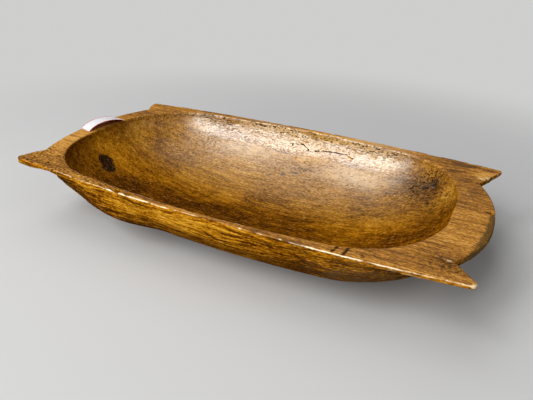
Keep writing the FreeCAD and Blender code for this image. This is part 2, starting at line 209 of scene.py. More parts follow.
class Board:
    # the node tree of one material, or of the world
    def __init__(self, name, world=None):
        self.material = world or bpy.data.materials.new(name)
        self.material.use_nodes = True
        self.tree = self.material.node_tree
        self.surface = self.tree.nodes["Background" if world else "Principled BSDF"]

    def add(self, kind, settings=None, values=(), output=0):
        node = self.tree.nodes.new(kind)
        for key, setting in (settings or {}).items():
            if key == "stops":
                self.setStops(node.color_ramp, setting)
            else:
                setattr(node, key, setting)
        pairs = values.items() if isinstance(values, dict) else enumerate(values)
        for key, value in pairs:
            self.feed(self.socketOf(node, key), value)
        return Wire(self, node.outputs[output])

    def socketOf(self, node, key):
        if isinstance(key, int):
            return node.inputs[key]
        named = [socket for socket in node.inputs if key in (socket.identifier, socket.name)]
        enabled = [socket for socket in named if socket.enabled]
        return (enabled or named)[0]

    def feed(self, socket, value):
        if isinstance(value, Wire):
            self.tree.links.new(value.socket, socket)
        else:
            socket.default_value = value

    def setStops(self, colorRamp, stops):
        while len(colorRamp.elements) < len(stops):
            colorRamp.elements.new(0.5)
        for element, (place, colour) in zip(colorRamp.elements, stops):
            element.position, element.color = place, (*colour, 1.0)

    def vector(self, operation, values, output="Vector"):
        return self.add("ShaderNodeVectorMath", {"operation": operation}, values, output)

    def finish(self, values):
        for name, value in values.items():
            self.feed(self.surface.inputs[name], value)

    def mixShader(self, factor, other, outputName):
        # the other shader over this board's own
        own = Wire(self, self.surface.outputs[0])
        mixed = self.add("ShaderNodeMixShader", None, (factor, own, other))
        self.tree.links.new(mixed.socket, self.tree.nodes[outputName].inputs["Surface"])

    def mask(self, name):
        return self.add("ShaderNodeAttribute", {"attribute_name": name}, output="Fac")

    def backgroundRay(self):
        # 1 for what the camera sees, straight or in a shine
        kinds = ("Camera", "Glossy", "Transmission")
        rays = [self.add("ShaderNodeLightPath", output=f"Is {kind} Ray") for kind in kinds]
        return functools.reduce(Wire.most, rays)

    def coordinates(self):
        return self.add("ShaderNodeTexCoord", output="Object")

    def place(self):
        # where a point lies on the piece, in millimetres
        return self.vector("SCALE", {0: self.coordinates(), "Scale": 1000.0})

    def stretched(self, place, sizes):
        shrink = tuple(1.0 / size for size in sizes)
        return self.vector("MULTIPLY", (place, shrink))

    def noise(self, place, sizes, detail=2.0, roughness=0.5, distortion=0.0, output="Fac"):
        inputs = {"Vector": self.stretched(place, sizes), "Scale": 1.0, "Detail": detail}
        inputs |= {"Roughness": roughness, "Distortion": distortion}
        return self.add("ShaderNodeTexNoise", None, inputs, output)

    def step(self, value, low, high):
        settings = {"interpolation_type": "SMOOTHSTEP"}
        inputs = {"Value": value, "From Min": low, "From Max": high, "To Min": 0.0, "To Max": 1.0}
        return self.add("ShaderNodeMapRange", settings, inputs)

    def blend(self, factor, first, second, how="MIX"):
        settings = {"data_type": "RGBA", "blend_type": how, "clamp_factor": True}
        first, second = ((*c, 1.0) if isinstance(c, tuple) else c for c in (first, second))
        inputs = {"Factor_Float": factor, "A_Color": first, "B_Color": second}
        return self.add("ShaderNodeMix", settings, inputs, 2)

    def rise(self, height, distance, strength=1.0):
        inputs = {"Height": height, "Distance": distance, "Strength": strength}
        return self.add("ShaderNodeBump", None, inputs)

    def segment(self, place, start, end):
        # distance in millimetres from a short straight line
        run = Vector(end) - Vector(start)
        away = self.vector("SUBTRACT", (place, tuple(start)))
        dot = self.vector("DOT_PRODUCT", (away, tuple(run)), "Value")
        along = (dot * (1.0 / run.length_squared)).clamp()
        reached = self.vector("SCALE", {0: tuple(run), "Scale": along})
        gap = self.vector("SUBTRACT", (away, reached))
        return self.vector("LENGTH", (gap,), "Value")


trough = {
    "voxel": 0.0018,  # metres
    "smoothing": 1,
    "mostTriangles": 196000,
    "rimHeight": 112.0,  # millimetres, as are all sizes and places below
    "nearRim": 104.0,  # creases reach down to here
    "hollowMiddle": (-11.0, 0.0, 112.0),
    "hollowSpine": (-200.0, 190.0),  # the hollow curves round the ends of this line
    # lumps of carving laid over each other: sizes, depth and seed
    "scoopMarks": (((58, 36, 34), 1.6, 1), ((19, 14, 12), 0.5, 2)),
    "adzeStrokes": (((95, 30, 10), 1.7, 3), ((38, 14, 5), 0.8, 4)),
    "rimWear": (((60, 34, 60), 0.8, 5), ((34, 5, 20), 0.5, 6)),
    # wood that breaks out in chips: sizes, seed, and the noise where it starts and is deepest
    "pits": ((12, 6, 5), 7, 0.55, 0.9),
    "pitDepth": 0.9,
    "pitBand": ((150, 168), (72, 92), (-205, -175), (205, 235)),
    "tornGrain": ((11, 8, 8), 8, 0.45, 0.85),
    "tornDepth": 2.0,
    "tornRise": 0.2,  # share of that depth by which the wood between the tears stands up
    "tornBand": ((145, 168), (80, 104), (-250, -215), (205, 240)),
    "nibbles": ((14, 10, 30), 10, 0.5, 0.9),
    "nibbleDepth": 0.9,
    "roughPatch": (262.0, 105.0, 84.0),
    "roughReach": (52, 48, 34),
    "roughStainReach": (80, 76, 50),
    "roughEar": ((322.0, -148.0, 112.0), (56.0, 40.0, 20.0)),
    "gouge": ((261.0, 119.0, 83.0), (13, 11, 12)),
    "gougeDepth": 3.2,
    "knot": ((-294.0, -41.0, 69.0), (-278.0, -51.0, 61.0)),
    "knotReach": 17.0,
    "knotRise": 2.4,
    "knotCracks": ((6, 6, 5), 9, 0.45, 0.8),
    "knotCrackDepth": 3.0,
    "dishDepth": 1.8,
    # place, reach and depth
    "frontLeftCorner": (
        ((-230.0, -180.0, 84.0), (50.0, 46.0, 34.0), 6.0),
        ((-148.0, -172.0, 58.0), (88.0, 62.0, 44.0), -8.5),
    ),
    # place along the rim, half length and depth
    "rimDips": ((-127.0, -192.0, 13.0, 2.4), (-106.0, -193.0, 8.0, 1.8), (-222.0, -190.0, 18.0, 1.0)),
    "dipReach": 16.0,
    "dipInward": 0.8,  # share of its depth that a dip also goes inwards
    "lobeNick": ((357.0, 10.5, 112.0), (12.0, 3.5, 20.0)),
    "nickBite": (2.0, 2.5),  # how far it goes inwards and down
    "lobeMiddle": (117.0, -16.5),
    "lobeRadius": 244.0,
    "lobeBevel": 9.0,
    "bevelSlope": 0.55,
    # ends, half width and depth
    "creases": (
        ((-331.0, -139.0, 112.0), (-318.0, -159.0, 112.0), 3.6, 1.5),
        ((-318.0, -159.0, 112.0), (-320.0, -174.0, 112.0), 3.6, 1.3),
        ((-326.0, -142.0, 112.0), (-292.0, -174.0, 112.0), 3.0, 0.7),
        ((300.0, -138.0, 112.0), (320.0, -146.0, 112.0), 3.4, 1.0),
        ((320.0, -146.0, 112.0), (334.0, -140.0, 112.0), 3.4, 0.9),
        ((336.0, 4.0, 112.0), (357.0, 10.5, 112.0), 3.0, 0.8),
    ),
    # the left ears are drawn out a little: place, reach and length
    "earPulls": (
        ((-342.0, 154.0, 110.0), (14.0, 22.0, 30.0), 3.0),
        ((-340.0, -148.0, 110.0), (10.0, 18.0, 30.0), 2.5),
    ),
    "earUnderside": 4.5,
}


def regions(points, normals):
    # where a point lies on the trough: in the hollow, on the rim's top, or outside
    x, z = points[:, 0], points[:, 2]
    toward = np.array(trough["hollowMiddle"]) - points
    toward[:, 0] = np.clip(x, *trough["hollowSpine"]) - x
    inward = np.einsum("ij,ij->i", toward, normals) / np.linalg.norm(toward, axis=1)
    top = ramp(z, trough["rimHeight"] - 3.0, trough["rimHeight"] - 1.2) * ramp(normals[:, 2], 0.6, 0.9)
    inside = ramp(inward, 0.05, 0.25) * (1.0 - top)
    outside = ramp(-inward, -0.05, 0.15) * (1.0 - top) * (1.0 - inside)
    return inside, top, outside


def lumps(points, layers, middle=0.5):
    # with the middle at 0.5 the wood is left higher as often as it is cut deeper
    return sum(depth * (grainNoise(points, sizes, seed) - middle) for sizes, depth, seed in layers)


def brokenOut(points, sizes, seed, start, deepest):
    return ramp(grainNoise(points, sizes, seed), start, deepest)


def backBand(points, behind, above, leftEnd, rightEnd):
    # a band along the back wall, faded over each pair of places
    x, y, z = points.T
    return ramp(y, *behind) * ramp(z, *above) * ramp(x, *leftEnd) * (1.0 - ramp(x, *rightEnd))


def lobeBand(points):
    # millimetres outwards from the line where the right lobe's worn bevel starts
    x, y = points[:, 0], points[:, 1]
    middleX, middleY = trough["lobeMiddle"]
    out = np.hypot(x - middleX, y - middleY)
    # the bevel narrows towards the front, ends at the nick, and lies on the lobe alone
    width = trough["lobeBevel"] * (1.0 - 0.85 * ramp(-y, 60.0, 125.0)) * (1.0 - ramp(y, 0.0, 14.0))
    return np.clip(out - trough["lobeRadius"] + width, 0.0, width) * (x > 300.0) * (y > -132.0)


def carve(points, normals):
    # millimetres to sink each point along its normal
    inside, top, outside = regions(points, normals)
    x, z = points[:, 0], points[:, 2]
    sink = np.zeros(len(points))
    # scoop marks in the hollow, longest along the trough
    sink += inside * lumps(points, trough["scoopMarks"])
    # level adze strokes outside, fainter towards the thin tips
    body = outside * (1.0 - 0.75 * ramp(np.abs(x), 285.0, 325.0))
    sink += body * lumps(points, trough["adzeStrokes"])
    # the front left corner is hewn leaner under the ear and fuller beside it
    for place, reach, depth in trough["frontLeftCorner"]:
        sink += outside * depth * nearPoint(points, place, reach)
    # the rim's top is a little uneven and worn
    sink += top * lumps(points, trough["rimWear"], middle=0.0)
    # pits in a band under the back lip
    band = inside * backBand(points, *trough["pitBand"])
    sink += band * trough["pitDepth"] * brokenOut(points, *trough["pits"])
    # torn grain and a gouge at the right end
    rough = inside * nearPoint(points, trough["roughPatch"], trough["roughReach"])
    sink += rough * trough["tornDepth"] * (brokenOut(points, *trough["tornGrain"]) - trough["tornRise"])
    sink += inside * trough["gougeDepth"] * nearPoint(points, *trough["gouge"])
    # the knot stands in a shallow dish
    dish = inside * nearLine(points, *trough["knot"], trough["knotReach"] * 1.5)
    core = inside * nearLine(points, *trough["knot"], trough["knotReach"])
    sink += trough["dishDepth"] * dish - trough["knotRise"] * core
    sink += trough["knotCrackDepth"] * core * brokenOut(points, *trough["knotCracks"])
    # nibbled edges, but not at the tips
    edge = ramp(z, 106.0, 111.0) * (1.0 - inside) * (1.0 - 0.9 * ramp(np.abs(x), 300.0, 330.0))
    sink += edge * trough["nibbleDepth"] * brokenOut(points, *trough["nibbles"])
    return sink


def wear(points):
    # dips in the front lip, the right lobe's bevel and nick, the creases, and the two left ears
    x, y, z = points.T
    moved = points.copy()
    for dipX, dipY, reach, depth in trough["rimDips"]:
        across = trough["dipReach"]
        near = nearPoint(points, (dipX, dipY, trough["rimHeight"]), (reach, across, across))
        moved[:, 2] -= depth * near
        moved[:, 1] += trough["dipInward"] * depth * near
    nick = nearPoint(points, *trough["lobeNick"])
    nickInward, nickDown = trough["nickBite"]
    moved[:, 0] -= nickInward * nick
    moved[:, 2] -= nickDown * nick
    moved[:, 2] -= trough["bevelSlope"] * lobeBand(points) * ramp(z, 98.0, 111.0)
    for start, end, reach, depth in trough["creases"]:
        moved[:, 2] -= depth * nearLine(points, start, end, reach) * ramp(z, trough["nearRim"], 110.0)
    for place, reach, length in trough["earPulls"]:
        moved[:, 0] -= length * nearPoint(points, place, reach)
    # the front left ear is thicker underneath
    under = (1.0 - ramp(z, 107.0, 110.5)) * ramp(-x, 270.0, 320.0) * ramp(-y, 140.0, 165.0)
    moved[:, 2] -= trough["earUnderside"] * under * (z > 88.0)
    return moved


def makeTrough():
    piece = copyOfNode("bowl", "trough")
    applyModifier(piece, "REMESH", mode="VOXEL", voxel_size=trough["voxel"], adaptivity=0.0)
    applyModifier(piece, "SMOOTH", factor=0.5, iterations=trough["smoothing"])
    lowest, highest = np.array(cadBox) * 1000.0
    points, normals = readPoints(piece), readNormals(piece)
    points = points - normals * carve(points, normals)[:, None]
    writePoints(piece, np.clip(wear(points), lowest, highest))
    applyModifier(piece, "SMOOTH", factor=0.3, iterations=1)
    faces = sum(len(face.vertices) - 2 for face in piece.data.polygons)
    if faces > trough["mostTriangles"]:
        applyModifier(piece, "DECIMATE", ratio=trough["mostTriangles"] / faces)
    pickOnly(piece)
    bpy.ops.object.shade_smooth()
    print("trough:", len(piece.data.polygons), "faces")
    return piece


def wornEdges(piece, points, normals):
    # how far each vertex stands out from its neighbours
    ends = np.array([edge.vertices[:] for edge in piece.data.edges])
    spread = points[ends[:, 1]] - points[ends[:, 0]]
    length = np.maximum(np.linalg.norm(spread, axis=1), 1e-6)
    bend = np.zeros(len(points))
    count = np.zeros(len(points))
    np.add.at(bend, ends[:, 0], -np.einsum("ij,ij->i", spread, normals[ends[:, 0]]) / length)
    np.add.at(bend, ends[:, 1], np.einsum("ij,ij->i", spread, normals[ends[:, 1]]) / length)
    np.add.at(count, ends.ravel(), 1)
    bend /= np.maximum(count, 1)
    around = np.zeros(len(points))
    np.add.at(around, ends[:, 0], bend[ends[:, 1]])
    np.add.at(around, ends[:, 1], bend[ends[:, 0]])
    return 0.5 * bend + 0.5 * around / np.maximum(count, 1)


# how dark or light the wood is: place, reach along each axis, and how much lighter than plain. Besides the
# wood's own tones this holds painted light: painted shade on the hollow's floor towards the front and low on
# the outside, and a painted glow high on the back wall and high on the front outside
toneAndPaintedLight = {
    # painted shade towards the front and low down, a painted glow high on the back wall, among the wood's own
    # tones
    "hollow": (
        ((-320.0, 40.0, 90.0), (120.0, 150.0, 110.0), 0.16),
        ((-225.0, -70.0, 45.0), (100.0, 90.0, 60.0), -0.22),
        ((215.0, -55.0, 55.0), (90.0, 70.0, 60.0), -0.22),
        ((100.0, -20.0, 16.0), (190.0, 60.0, 50.0), -0.10),
        ((-20.0, -70.0, 20.0), (330.0, 125.0, 90.0), -0.36),
        ((255.0, 118.0, 80.0), (60.0, 50.0, 44.0), -0.30),
        ((285.0, 88.0, 92.0), (40.0, 44.0, 34.0), 0.26),
        ((-272.0, 58.0, 58.0), (70.0, 60.0, 50.0), -0.16),
        ((260.0, -10.0, 70.0), (110.0, 130.0, 90.0), -0.16),
        ((40.0, 172.0, 80.0), (300.0, 75.0, 66.0), 0.16),
        ((30.0, 188.0, 108.0), (330.0, 26.0, 26.0), 0.34),
        ((212.0, 145.0, 72.0), (48.0, 60.0, 44.0), -0.40),
        ((-120.0, 70.0, 30.0), (150.0, 70.0, 60.0), 0.08),
        ((-155.0, 112.0, 42.0), (130.0, 70.0, 50.0), 0.12),
        ((-318.0, -15.0, 85.0), (60.0, 60.0, 50.0), 0.10),
        ((10.0, 60.0, 20.0), (130.0, 60.0, 40.0), -0.18),
    ),
    # painted shade low down and a painted glow high on the front, among the wood's own tones
    "outside": (
        ((0.0, -190.0, 0.0), (700.0, 250.0, 160.0), -0.30),
        ((260.0, -150.0, 60.0), (150.0, 110.0, 60.0), -0.12),
        ((-60.0, -190.0, 100.0), (260.0, 60.0, 34.0), 0.24),
        ((-260.0, -170.0, 85.0), (110.0, 90.0, 60.0), -0.26),
        ((-30.0, -185.0, 70.0), (200.0, 60.0, 40.0), 0.10),
        ((-170.0, -190.0, 110.0), (60.0, 60.0, 50.0), -0.16),
        ((-20.0, -195.0, 110.0), (90.0, 60.0, 50.0), 0.12),
    ),
    "rimTop": (
        ((-325.0, -60.0, 112.0), (110.0, 170.0, 40.0), 0.50),
        ((320.0, -40.0, 112.0), (120.0, 130.0, 40.0), 0.22),
        ((110.0, 194.0, 112.0), (220.0, 30.0, 20.0), 0.34),
        ((330.0, 150.0, 112.0), (48.0, 40.0, 20.0), 0.50),
        ((304.0, 168.0, 112.0), (32.0, 10.0, 20.0), -1.0),
        ((338.0, 164.0, 112.0), (20.0, 12.0, 20.0), -0.9),
        ((318.0, 148.0, 112.0), (24.0, 7.0, 20.0), -0.5),
        ((318.0, -142.0, 112.0), (56.0, 34.0, 20.0), -0.08),
        ((325.0, 60.0, 112.0), (50.0, 80.0, 30.0), -0.12),
        ((292.0, 139.0, 112.0), (22.0, 10.0, 20.0), -0.5),
        ((282.0, 132.0, 112.0), (24.0, 12.0, 20.0), -0.22),
        ((250.0, -170.0, 112.0), (60.0, 22.0, 20.0), -0.10),
    ),
}

# small dark and light marks: place and reach. The stains are dark wood; the light marks are a few light
# specks and painted glints on the right ears' tips and notch
marks = {
    "stain": (
        ((-277.0, -74.0, 63.0), (6.0, 6.0, 6.0)),
        ((-92.0, 185.5, 106.5), (9.0, 6.0, 4.0)),
        ((-84.0, 186.0, 105.0), (9.0, 6.0, 3.6)),
        ((-142.0, 182.0, 109.0), (10.0, 6.0, 3.4)),
        ((-216.0, 172.0, 109.0), (7.0, 5.0, 3.4)),
        ((-198.0, 175.0, 110.0), (11.0, 6.0, 3.0)),
        ((-197.0, 172.0, 93.0), (9.0, 6.0, 3.0)),
        ((261.0, 125.0, 88.0), (15.0, 11.0, 12.0)),
        ((248.0, 124.0, 76.0), (12.0, 8.0, 7.0)),
        ((226.0, 128.0, 68.0), (9.0, 5.0, 5.0)),
        ((260.0, 85.0, 68.0), (8.0, 5.0, 5.0)),
        ((287.0, 85.0, 89.0), (6.0, 6.0, 6.0)),
        ((230.0, -182.0, 112.0), (4.0, 7.0, 6.0)),
        ((-13.0, 127.0, 39.0), (8.0, 8.0, 7.0)),
        ((7.0, 135.0, 43.0), (13.0, 4.6, 4.6)),
        ((-38.0, 118.0, 36.0), (9.0, 4.6, 4.6)),
        ((351.0, 10.0, 111.0), (11.0, 3.6, 6.0)),
    ),
    # light specks, and painted glints on the tips and notch of the right ears
    "pale": (
        ((160.0, -25.0, 29.0), (2.4, 2.4, 2.4)),
        ((316.0, 54.0, 112.0), (3.2, 3.6, 3.0)),
        ((329.0, 125.0, 110.0), (10.0, 8.0, 6.0)),
        ((338.0, 133.0, 110.0), (7.0, 9.0, 6.0)),
        ((322.0, -141.0, 112.0), (8.0, 5.0, 6.0)),
        ((352.0, 158.0, 109.0), (5.0, 9.0, 5.0)),
        ((354.0, -176.0, 110.0), (7.0, 4.0, 5.0)),
    ),
    # painted glare: light patches high on the back wall, where the lamps shine on the wax
    "bleached": (
        ((145.0, 180.0, 94.0), (120.0, 44.0, 40.0)),
        ((-215.0, 166.0, 92.0), (60.0, 34.0, 30.0)),
        ((-70.0, 182.0, 96.0), (140.0, 34.0, 24.0)),
        ((125.0, 146.0, 56.0), (110.0, 40.0, 30.0)),
        ((-110.0, 154.0, 61.0), (100.0, 34.0, 26.0)),
    ),
}


def nearSpots(points, spots):
    return np.max([nearPoint(points, *spot) for spot in spots], axis=0)


def tornWood(points, inside, top):
    # torn at the hollow's right end, along its back and left lips, and on the rim's two front ends
    x, y, z = points.T
    rough = ramp(nearPoint(points, trough["roughPatch"], trough["roughStainReach"]), 0.0, 0.5)
    leftLip = ramp(z, 98, 109) * ramp(-x, 200, 250) * (x < -200.0)
    ragged = inside * np.max([rough, backBand(points, *trough["tornBand"]), leftLip], axis=0)
    leftRim = ramp(-x, 60.0, 160.0) * ramp(-y, 90.0, 140.0) * (z > 100.0)
    return np.maximum(ragged, top * np.maximum(leftRim, 0.8 * nearPoint(points, *trough["roughEar"])))


def creased(points):
    deepest = np.zeros(len(points))
    for start, end, reach, depth in trough["creases"]:
        deepest = np.maximum(deepest, nearLine(points, start, end, reach * 1.1) * depth)
    return deepest * (points[:, 2] > trough["nearRim"])


def markTrough(piece):
    # the masks that the wood reads, each a number from 0 to 1 at every vertex
    points, normals = readPoints(piece), readNormals(piece)
    x, y, z = points.T
    inside, top, outside = regions(points, normals)
    masks = {"hollow": inside, "rimTop": top, "outside": outside}
    # the wood's own tone with painted shade and painted glow laid over it, from the table above
    masks["patina"] = np.full(len(points), 0.5)
    for region, spots in toneAndPaintedLight.items():
        for place, reach, amount in spots:
            masks["patina"] += amount * masks[region] * nearPoint(points, place, reach)
    masks["stain"] = nearSpots(points, marks["stain"])
    masks["pale"] = nearSpots(points, marks["pale"])
    # painted glare on the back wall
    masks["bleached"] = nearSpots(points, marks["bleached"]) * (1.0 - outside)
    masks["knot"] = inside * nearLine(points, *trough["knot"], trough["knotReach"] * 1.2)
    masks["lobeBand"] = ramp(lobeBand(points), 0.3, 1.8)
    masks["crease"] = creased(points)
    masks["torn"] = tornWood(points, inside, top)
    # wax lies thick on the back wall and the front lip, and is rubbed thin and amber elsewhere
    thick = ramp(y, 5.0, 165.0) * (1.0 - 0.7 * ramp(np.abs(x + 20.0), 200.0, 290.0))
    corner = ramp(wornEdges(piece, points, normals), 0.05, 0.22)
    # the front lip's outer corner, which takes thick wax and a painted highlight line
    frontLip = ramp(-y, 165.0, 180.0) * ramp(z, 105.0, 109.0) * ramp(x, -290.0, -225.0)
    wax = inside * (0.03 + 0.97 * thick) * (1.0 - 0.8 * corner) + 0.04 * top + 0.02 * outside
    masks["wornEdge"] = corner
    masks["frontLip"] = frontLip
    masks["wax"] = np.maximum(wax, frontLip * ramp(corner, 0.2, 0.8))
    masks["amber"] = np.maximum(outside, inside * (1.0 - ramp(y, -20.0, 80.0)))
    for name, values in masks.items():
        storeMask(piece, name, values)


wood = {
    "deep": (0.022, 0.008, 0.001),
    "dark": (0.080, 0.027, 0.002),
    "brown": (0.200, 0.075, 0.004),
    "honey": (0.370, 0.158, 0.009),
    "gold": (0.540, 0.255, 0.024),
    "straw": (0.700, 0.390, 0.075),
    "stops": ((0.0, "deep"), (0.2, "dark"), (0.43, "brown"), (0.63, "honey"), (0.83, "gold"), (1.0, "straw")),
    "amber": (1.0, 0.88, 0.35),
    "underWax": (0.285, 0.150, 0.026),
    "paintedGlareWood": (0.84, 0.60, 0.34),
    "rimWash": (0.62, 0.36, 0.16),
    "rimTint": (1.0, 0.92, 0.92),
    "chipGold": (0.620, 0.300, 0.020),
    "knotHeart": (0.013, 0.005, 0.002),
    "knotRidge": (0.110, 0.050, 0.022),
    "swirlBrown": (0.142, 0.076, 0.028),
    "bevelBrown": (0.170, 0.098, 0.034),
    # light straw for wear on the corners and for the painted highlight along the front lip
    "wornStraw": (0.92, 0.70, 0.40),
    "paleStraw": (0.78, 0.58, 0.30),
    # layers of grain: size of the lumps in millimetres, detail, roughness, distortion
    "grain": {
        "streaks": ((140, 8.0, 8.0), 4.0, 0.62),
        "strokes": ((75, 3.6, 3.6), 3.0, 0.62),
        "hairs": ((34, 1.8, 1.8), 2.0, 0.6),
        "blotches": ((110, 60, 50), 3.0, 0.55, 0.3),
        "mottle": ((20, 11, 10), 4.0, 0.65, 0.5),
        "grit": ((4.6, 2.6, 2.6), 2.0, 0.6),
    },
    "wandering": ("streaks", "strokes", "hairs"),  # these layers bend along the trough
    "wanderSizes": (120, 60, 50),
    "wanderReach": (40, 22, 22),
    "masks": (
        "hollow", "rimTop", "outside", "patina", "stain", "pale", "bleached", "knot",
        "lobeBand", "crease", "torn", "wornEdge", "frontLip", "wax", "amber",
    ),
    # drawn lines: where each fades out and is full, in millimetres, and the region it lies in
    "lines": {
        "cracks": (1.7, 0.7, "hollow"),
        "hairlines": (1.0, 0.2, "hollow"),
        "chips": (2.6, 1.8, "hollow"),
        "rimBars": (3.0, 1.2, "rimTop"),
    },
    "wobble": 4.2,
    "swirl": (232.0, -170.0, 66.0),
    "swirlReach": (84.0, 80.0, 50.0),
    "swirlBands": 17.0,
    "ripple": 0.0012,  # metres
    "coatRoughness": 0.31,
    "coatBend": 2.0,  # index of refraction
    "cracks": (
        ((-18.0, 178.0, 84.0), (-17.0, 178.0, 79.0)),
        ((-18.0, 178.0, 84.0), (4.0, 180.0, 84.5)),
        ((4.0, 180.0, 84.5), (14.0, 177.0, 80.0)),
        ((14.0, 177.0, 80.0), (17.0, 176.0, 76.0)),
        ((30.0, 176.0, 78.0), (44.0, 177.0, 81.0)),
        ((44.0, 177.0, 81.0), (62.0, 177.0, 82.5)),
        ((62.0, 177.0, 82.5), (92.0, 176.0, 83.0)),
        ((92.0, 176.0, 83.0), (106.0, 172.0, 79.0)),
    ),
    "hairlines": (
        ((-161.0, 164.0, 74.0), (-136.0, 162.0, 68.0)),
        ((-142.0, 159.0, 66.0), (-99.0, 162.0, 65.0)),
        ((-119.0, 160.0, 64.0), (-98.0, 155.0, 59.0)),
        ((-40.0, 158.0, 60.0), (-16.0, 160.0, 61.0)),
    ),
    "chips": (
        ((90.0, 175.0, 81.5), (103.0, 173.0, 79.5)),
        ((0.0, 161.0, 61.0), (12.0, 160.0, 60.0)),
    ),
    "rimBars": (
        ((196.0, -189.0, 112.0), (198.0, -174.0, 112.0)),
        ((210.0, -188.0, 112.0), (211.0, -172.0, 112.0)),
    ),
}


def woodGrain(board, place):
    # each layer swings about 0
    shift = board.noise(place, wood["wanderSizes"], 1.0, output="Color")
    wander = board.vector("MULTIPLY_ADD", (shift, wood["wanderReach"], place))
    grain = SimpleNamespace()
    for name, layer in wood["grain"].items():
        setattr(grain, name, board.noise(wander if name in wood["wandering"] else place, *layer) - 0.5)
    return grain


def plainWood(board, at, grain):
    # the colour runs from dark to gold, shifted by the wood's own tones and by painted shade and painted glow
    tone = 0.56 + grain.blotches * 0.8 + grain.mottle * 0.6 + (at.patina - 0.5)
    tone = tone + grain.streaks * (0.8 + at.outside * 0.4 + at.rimTop * 0.3)
    tone = tone + grain.strokes * (0.4 + at.outside * 0.8 + at.rimTop * 0.4)
    tone = tone + grain.hairs * (0.7 + at.outside * 0.7 + at.rimTop * 0.4 - at.wax * 0.3)
    tone = tone + grain.grit * (0.9 + at.outside * 0.4 + at.rimTop * 0.5)
    stops = [(along, wood[name]) for along, name in wood["stops"]]
    colour = board.add("ShaderNodeValToRGB", {"stops": stops}, (tone,))
    # dark lines along the grain, in patches
    patches = board.step(grain.blotches + grain.streaks, 0.12, -0.10)
    lines = board.step(grain.strokes, -0.06, -0.14) * patches
    colour = board.blend(lines * (0.35 + at.outside * 0.5), colour, wood["dark"])
    colour = board.blend(at.wax * 0.34, colour, wood["underWax"])
    # painted glare: light patches high on the back wall
    colour = board.blend(at.bleached * (0.50 + grain.mottle * 0.8), colour, wood["paintedGlareWood"])
    colour = board.blend(at.rimTop * 0.16, colour, wood["rimWash"])
    return board.blend(at.rimTop, colour, wood["rimTint"], "MULTIPLY")


def woodMarks(board, place, at, grain):
    # each mark is a number from 0 to 1 with a ragged edge
    found = SimpleNamespace()
    # an oval of darker figure low on the front at the right end
    ring = board.stretched(board.vector("SUBTRACT", (place, wood["swirl"])), wood["swirlReach"])
    ring = board.vector("LENGTH", (ring,), "Value") + grain.mottle * 0.25
    found.bands = (ring * wood["swirlBands"]).sine() * 0.5 + 0.5
    found.swirl = board.step(ring + grain.grit + grain.streaks, 1.05, 0.20) * at.outside
    # pores and torn grain
    dots = board.noise(place, (5.0, 2.3, 2.1), 3.0, 0.65) + (grain.blotches + grain.mottle) * 0.25
    found.pits = board.step(dots + at.rimTop * 0.01, 0.55, 0.61) * at.torn
    found.specks = board.step(board.noise(place, (5.0, 2.4, 2.4), 2.0), 0.62, 0.70)
    # cracks, chips and cut marks, with wandering edges
    wobble = (board.noise(place, (6, 4, 4), 3.0, 0.7) - 0.5) * wood["wobble"]
    for name, (faded, full, region) in wood["lines"].items():
        gaps = [board.segment(place, start, end) + wobble for start, end in wood[name]]
        line = board.step(functools.reduce(Wire.least, gaps), faded, full)
        setattr(found, name, line * getattr(at, region))
    found.crease = board.step(at.crease + grain.grit * 0.4, 0.35, 0.8)
    found.stain = board.step(at.stain + grain.grit * 0.8, 0.30, 0.50)
    found.pale = board.step(at.pale + grain.grit * 1.6 + grain.hairs, 0.30, 0.75)
    found.knot = board.step(at.knot + grain.mottle * 1.3 + grain.grit * 0.9, 0.28, 0.40)
    found.ridges = board.noise(place, (5, 4, 12), 3.0, 0.65, 1.2)
    found.bevel = at.lobeBand * board.step(grain.mottle + grain.grit * 0.5, 0.20, -0.02)
    # corners lightened by wear, and along the front lip's outer corner a painted highlight line
    patchyWearAndHighlight = board.step(grain.mottle + grain.grit + at.frontLip * 0.3, -0.15, 0.12)
    found.worn = board.step(at.wornEdge, 0.20, 0.65) * patchyWearAndHighlight
    return found


def markedWood(board, colour, at, found):
    colour = board.blend(found.pits * 0.92, colour, wood["deep"])
    colour = board.blend(found.specks * 0.55, colour, wood["dark"])
    dark = found.cracks + found.rimBars * 0.95 + found.crease * 0.6 + found.stain * 0.8
    colour = board.blend(dark.clamp() * 0.9, colour, wood["deep"])
    colour = board.blend(found.hairlines * 0.75, colour, wood["dark"])
    colour = board.blend(found.chips * 0.9, colour, wood["chipGold"])
    heart = board.blend(board.step(found.ridges, 0.52, 0.66), wood["knotHeart"], wood["knotRidge"])
    colour = board.blend(found.knot * 0.97, colour, heart)
    colour = board.blend(at.amber, colour, wood["amber"], "MULTIPLY")
    colour = board.blend(found.swirl * (0.38 + found.bands * 0.45), colour, wood["swirlBrown"])
    colour = board.blend(found.bevel * 0.85, colour, wood["bevelBrown"])
    # wear on the corners, and a painted highlight line along the front lip
    colour = board.blend(found.worn * (0.12 + at.frontLip * 0.85), colour, wood["wornStraw"])
    # light specks and painted glints
    return board.blend(found.pale * 0.85, colour, wood["paleStraw"])


